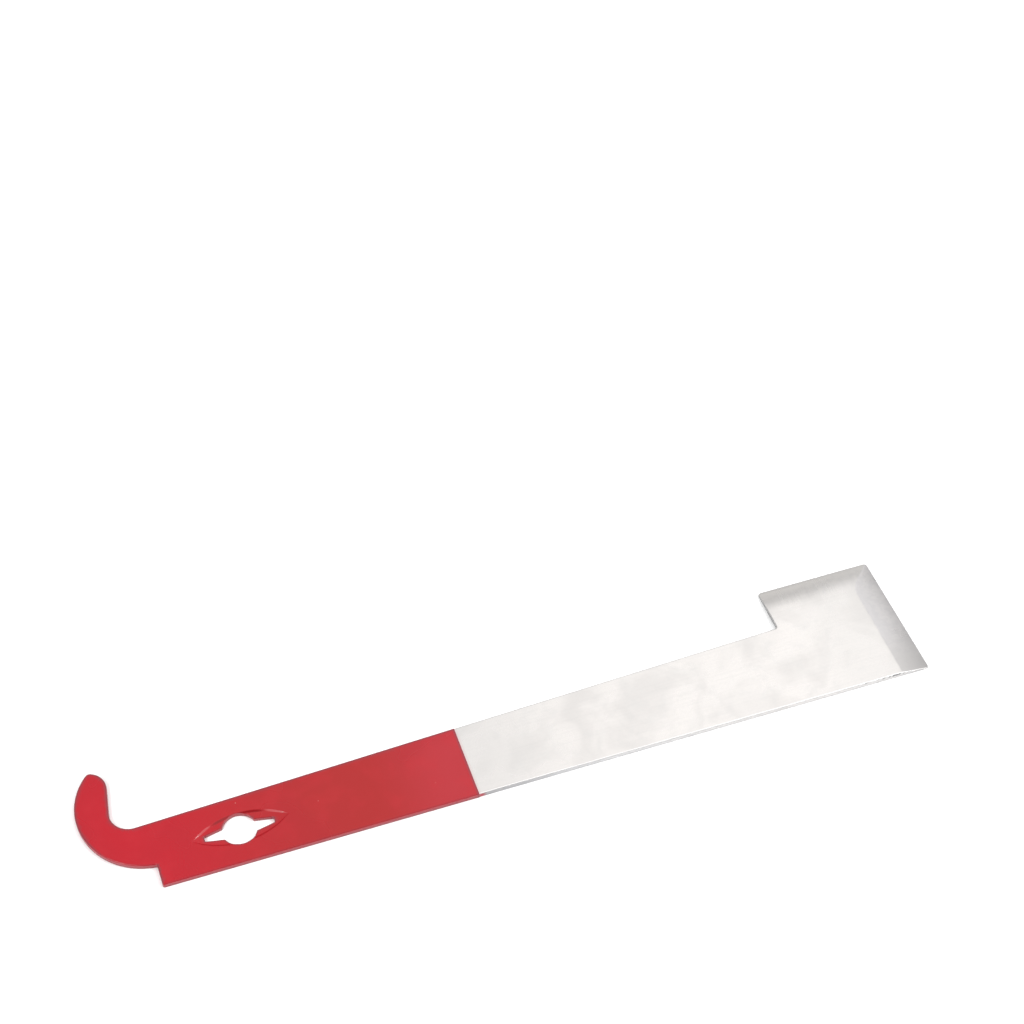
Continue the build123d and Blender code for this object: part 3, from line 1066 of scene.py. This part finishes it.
def split_axis(tree, coords, axis):
    n = tree.nodes.new("ShaderNodeSeparateXYZ")
    tree.links.new(coords, n.inputs[0])
    return n.outputs[axis]


def painted(tree, base, layers):
    """A base colour carried toward each layer's colour in turn, by that layer's share."""
    colour = base
    for share, toward in layers:
        colour = tint(tree, colour, share, toward)
    return colour


def steel_sources(tree):
    """What the steel's finish is made from: places, marks on the mesh and noises."""
    coords = coordinates(tree)
    names = ("wall", "rim", "far_rim_shade", "dent", "notch", "end_ground", "side_ground")
    s = {name: attribute(tree, name) for name in names}
    for axis in "XY":
        s[axis] = split_axis(tree, coords, axis)
    for name, shape in STEEL_CLOUDS.items():
        s[name] = cloud(tree, coords, *shape)
    s["past_line"] = past_paint_line(tree, coords)
    s["grain"] = cloud(tree, stretched(tree, coords, (45, 1300, 45)), 1, 2)
    s["streaks"] = cloud(tree, stretched(tree, coords, (220, 220, 1900)), 1, 3)
    end_lines = cloud(tree, stretched(tree, coords, (LONG, FINE, LONG)), 1, 2)
    side_lines = cloud(tree, stretched(tree, coords, (FINE, LONG, LONG)), 1, 2)
    s["on_end"] = ramp(tree, s["end_ground"], 0.0, 0.06, 0, 1)
    on_side = ramp(tree, s["side_ground"], 0.05, 0.35, 0, 1)
    end_lines = times(tree, end_lines, s["on_end"])
    s["lines"] = add(tree, end_lines, times(tree, side_lines, on_side))
    return s


def flat_layers(tree, s):
    """Cloudy polish marks and fine grain over the flat faces."""
    return [
        (ramp(tree, s["smears"], 0.45, 0.74, 0, 0.44), SMEARED),
        (ramp(tree, s["X"], *HANDLED_X, 0.6, 0), HANDLED),
        (ramp(tree, s["X"], *HEAD_TONE_X, 0, 0.64), HEAD_TONE),
        (ramp(tree, s["blots"], 0.48, 0.75, 0, 0.4), BLOTTED),
        (ramp(tree, s["speckle"], 0.35, 0.75, 0, 0.12), SPECKLED),
        (ramp(tree, s["grain"], 0.4, 0.75, 0, 0.13), GRAINED),
        (ramp(tree, s["lines"], 0.42, 0.8, 0, 0.35), GRINDING_LINE),
    ]


def end_bevel_layers(tree, s):
    """Mottling on both bevels, the end bevel's paler tone, and painted shade on it toward the tip
    and beside its inner line.
    """
    end = s["end_ground"]
    on_bevels = add(tree, s["on_end"], ramp(tree, s["side_ground"], 0.15, 0.7, 0, 0.45))
    mottled = ramp(tree, s["mottle"], 0.38, 0.64, 0, 0.55)
    by_tip = ramp(tree, s["Y"], *TIP_Y, 0.85, 0)
    rise, fall = ramp(tree, end, 0.0, 0.08, 0, 1), ramp(tree, end, 0.15, 0.6, 1, 0)
    by_line = ramp(tree, s["Y"], *BESIDE_LINE_Y, 0, 0.5)
    return [
        (times(tree, on_bevels, mottled), MOTTLED),
        (ramp(tree, end, 0.0, 0.1, 0, 0.55), END_BEVEL),
        (times(tree, s["on_end"], by_tip), END_BEVEL_SHADE_BY_TIP),
        (times(tree, times(tree, rise, fall), by_line), END_BEVEL_SHADE_BY_LINE),
    ]


def side_bevel_layers(tree, s):
    """Painted shade and highlight on the side bevel: shade on its roll off the top face by the
    notch, highlight on it by the mitre, a paler outer part and a darker edge.
    """
    side = s["side_ground"]
    rise, fall = ramp(tree, side, 0.12, 0.4, 0, 1), ramp(tree, side, 0.5, 0.8, 1, 0)
    roll = times(tree, rise, fall)
    outer = ramp(tree, side, 0.5, 0.95, 0, 0.8)
    toward_mitre = ramp(tree, s["X"], *SIDE_OUTER_X, 1, 0.5)
    return [
        (times(tree, roll, ramp(tree, s["X"], *ROLL_BY_NOTCH_X, 0.4, 0)), ROLL_SHADE_BY_NOTCH),
        (times(tree, roll, ramp(tree, s["X"], *ROLL_BY_MITRE_X, 0, 0.35)), ROLL_HIGHLIGHT_BY_MITRE),
        (times(tree, outer, toward_mitre), SIDE_BEVEL_OUTER_HIGHLIGHT),
        (ramp(tree, side, 0.86, 1.0, 0, 0.75), SIDE_BEVEL_EDGE_SHADE),
    ]


def steel_edge_layers(tree, s):
    """Rubbed rims with a painted highlight where they face the front and painted shade where they
    face away, grey sheared walls, painted shade on the notch's wall, traces of paint beyond its
    line, and painted shade in the nicks.
    """
    wall = s["wall"]
    darker = ramp(tree, s["X"], *WALL_X, 1.0, 0.45)
    streaked = ramp(tree, s["streaks"], 0.45, 0.75, 0, 0.35)
    by_paint = ramp(tree, s["X"], *WALL_BY_PAINT_X, 0.65, 0)
    crept = ramp(tree, s["past_line"], *CREPT_REACH, 0.85, 0)
    return [
        (ramp(tree, s["rim"], 0, 1, 0, 0.85), RUBBED_RIM_AND_HIGHLIGHT),
        (ramp(tree, s["far_rim_shade"], 0, 1, 0, 0.3), SHADED_FAR_RIM),
        (times(tree, wall, darker), SIDE_WALL),
        (times(tree, wall, streaked), WALL_STREAK),
        (times(tree, wall, by_paint), WALL_BY_PAINT),
        (ramp(tree, s["notch"], 0, 1, 0, 0.8), NOTCH_WALL_SHADE),
        (times(tree, crept, times(tree, wall, wall)), CREPT_PAINT),
        (ramp(tree, s["past_line"], *MIST_REACH, 0.24, 0), RED_MIST),
        (ramp(tree, s["dent"], 0.1, 0.75, 0, 0.85), NICK_SHADE),
    ]


def ground_steel():
    """Satin ground stainless steel."""
    material, tree, shader = new_material("ground_steel")
    s = steel_sources(tree)
    layers = flat_layers(tree, s) + end_bevel_layers(tree, s)
    layers += side_bevel_layers(tree, s) + steel_edge_layers(tree, s)
    tree.links.new(painted(tree, STEEL, layers), shader.inputs["Base Color"])
    smeared = ramp(tree, s["smears"], 0.4, 0.72, 0.26, 0.35)
    rough = add(tree, smeared, ramp(tree, s["wall"], 0, 1, 0, 0.16))
    rough = add(tree, rough, ramp(tree, s["lines"], 0.2, 0.9, 0, 0.06))
    tree.links.new(rough, shader.inputs["Roughness"])
    shader.inputs["Metallic"].default_value = 1.0
    surface = bump(tree, s["grain"], 0.06, 0.00001)
    surface = bump(tree, s["lines"], 0.12, 0.00002, surface)
    surface = bump(tree, times(tree, s["streaks"], s["wall"]), 0.5, 0.00003, surface)
    tree.links.new(surface, shader.inputs["Normal"])
    return material


def dust_share(tree, coords):
    """Sparse specks of dust."""
    cells = tree.nodes.new("ShaderNodeTexVoronoi")
    cells.inputs["Scale"].default_value = 85
    tree.links.new(coords, cells.inputs["Vector"])
    return ramp(tree, cells.outputs["Distance"], 0.009, 0.02, 0.42, 0)


def red_layers(tree, coords, wall, foot, uneven, patches):
    """Slightly uneven red with painted shade mid-bar and a painted reflection toward the paint line,
    painted shade on the rims, a painted reflection on the side walls and a painted shadow at their
    foot, painted shade and a painted highlight on the relief's walls, the bead and the dust.
    """
    x, line = split_axis(tree, coords, "X"), past_paint_line(tree, coords)
    # painted shadow along the foot of the side walls
    foot_shadow = times(tree, foot, ramp(tree, wall, 0, 1, 0, 0.6))
    rise, fall = ramp(tree, line, *BEAD_RISE, 0, 1), ramp(tree, line, *BEAD_FALL, 1, 0.7)
    return [
        (ramp(tree, x, *RED_HOOK_X, 0, 1), RED_MIDDLE_SHADE),
        (ramp(tree, x, *RED_LINE_X, 0, 1), RED_BY_LINE_REFLECTION),
        (ramp(tree, uneven, 0.4, 0.7, 0, 0.3), RED_UNEVEN),
        (ramp(tree, patches, 0.45, 0.75, 0, 0.2), RED_PATCH),
        (ramp(tree, attribute(tree, "rim"), 0, 1, 0, 0.3), RED_RIM_SHADE),
        (ramp(tree, attribute(tree, "far_rim_shade"), 0, 1, 0, 0.8), RED_FAR_RIM_SHADE),
        (ramp(tree, wall, 0, 1, 0, 0.85), RED_WALL_REFLECTION),
        (foot_shadow, RED_FOOT_SHADOW),
        (ramp(tree, attribute(tree, "crease"), 0, 1, 0, 0.8), RED_RELIEF_SHADE),
        (ramp(tree, attribute(tree, "glint"), 0, 1, 0, 0.6), RED_GLINT),
        (ramp(tree, times(tree, rise, fall), 0, 1, 0, 0.62), RED_BEAD),
        (dust_share(tree, coords), DUST),
    ]


def red_paint():
    """Semi-gloss sprayed red coat with a fine orange-peel surface."""
    material, tree, shader = new_material("red_paint")
    coords = coordinates(tree)
    wall, foot = attribute(tree, "wall"), attribute(tree, "foot")
    uneven = cloud(tree, coords, 34, 2, 0.5)
    patches = cloud(tree, coords, 160, 2)
    peel = cloud(tree, coords, 1300, 1)
    layers = red_layers(tree, coords, wall, foot, uneven, patches)
    tree.links.new(painted(tree, RED_AT_HOOK, layers), shader.inputs["Base Color"])
    rough = ramp(tree, uneven, 0.35, 0.7, 0.22, 0.3)
    rough = add(tree, rough, ramp(tree, foot, 0, 1, 0, 0.2))
    tree.links.new(rough, shader.inputs["Roughness"])
    shader.inputs["Specular IOR Level"].default_value = 0.37
    surface = bump(tree, peel, 0.05, 0.00001)
    surface = bump(tree, patches, 0.08, 0.00003, surface)
    tree.links.new(surface, shader.inputs["Normal"])
    return material


def place(piece, material, node_name):
    """Gives a piece its finish, stands it for its CAD node and lets it ride on the tool."""
    piece.data.materials.append(material)
    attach(piece, "root")
    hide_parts(node_name)


place(steel_piece(), ground_steel(), "steel_blade")
place(coat_piece(), red_paint(), "red_coating")


# ---------------------------------------- studio

FLOOR_SIZE = 8.0
FLOOR_COLOUR = (0.95, 0.95, 0.95, 1)
SOFTBOX_DISTANCE = 1.5
SOFTBOX_SIZE = 0.5
SOFTBOX_POWER = 11.0
LENS = 105.47
SENSOR = 36.0
CAMERA_PLACE = (-0.11831, -0.47388, 0.78715)
CAMERA_TURN = (35.837, 1.822, -17.373)


def pale_floor():
    """The white ground that the tool lies on."""
    bpy.ops.mesh.primitive_plane_add(size=FLOOR_SIZE, location=(0, 0, 0))
    floor = bpy.context.object
    floor.name = "floor"
    m = bpy.data.materials.new("pale_floor")
    m.use_nodes = True
    b = m.node_tree.nodes["Principled BSDF"]
    b.inputs["Base Color"].default_value = FLOOR_COLOUR
    b.inputs["Roughness"].default_value = 0.9
    b.inputs["Specular IOR Level"].default_value = 0.1
    floor.data.materials.append(m)


def softbox(name, toward):
    """An area light aimed at the tool from a direction."""
    light = bpy.data.lights.new(name, "AREA")
    light.shape = "SQUARE"
    light.size = SOFTBOX_SIZE
    light.energy = SOFTBOX_POWER
    lamp = bpy.data.objects.new(name, light)
    bpy.context.scene.collection.objects.link(lamp)
    length = math.sqrt(sum(c * c for c in toward))
    lamp.location = [c / length * SOFTBOX_DISTANCE for c in toward]
    lamp.rotation_euler = lamp.location.to_track_quat("Z", "Y").to_euler()


def studio_world():
    """A white tent: dim near the ground, bright overhead and a little to the right, with the
    dark gap at the front through which the tool is seen."""
    world = bpy.data.worlds.new("studio")
    bpy.context.scene.world = world
    world.use_nodes = True
    tree = world.node_tree
    background = tree.nodes["Background"]
    coords = tree.nodes.new("ShaderNodeTexCoord")
    split = tree.nodes.new("ShaderNodeSeparateXYZ")
    tree.links.new(coords.outputs["Generated"], split.inputs[0])
    x, y, z = split.outputs
    height = ramp(tree, z, 0.4, 0.87, 0.38, 1.4)
    from_left = ramp(tree, x, -0.02, 0.24, 0.76, 1.08)
    to_right = ramp(tree, x, 0.28, 0.66, 1.0, 0.7)
    far_side = ramp(tree, y, 0.6, 0.76, 1.0, 1.1)
    in_front = ramp(tree, y, -0.42, -0.18, 1, 0)
    right_end = ramp(tree, x, 0.03, 0.13, 1, 0)
    left_end = ramp(tree, x, -0.46, -0.36, 0, 1)
    opening = times(tree, in_front, times(tree, left_end, right_end))
    gap = ramp(tree, opening, 0, 1, 1.0, 0.1, False)
    strength = times(tree, times(tree, height, from_left), times(tree, to_right, far_side))
    strength = times(tree, strength, gap)
    tree.links.new(strength, background.inputs["Strength"])
    background.inputs["Color"].default_value = (1, 1, 1, 1)


def camera():
    """A long lens, above and in front of the hook end."""
    data = bpy.data.cameras.new("camera")
    data.lens = LENS
    data.sensor_width = SENSOR
    cam = bpy.data.objects.new("camera", data)
    bpy.context.scene.collection.objects.link(cam)
    cam.location = CAMERA_PLACE
    cam.rotation_euler = [math.radians(a) for a in CAMERA_TURN]
    bpy.context.scene.camera = cam


pale_floor()
studio_world()
softbox("front_right", (0.62, -0.3, 0.72))
softbox("front_left", (-0.6, -0.3, 0.74))
camera()
bpy.context.scene.view_settings.view_transform = "Standard"
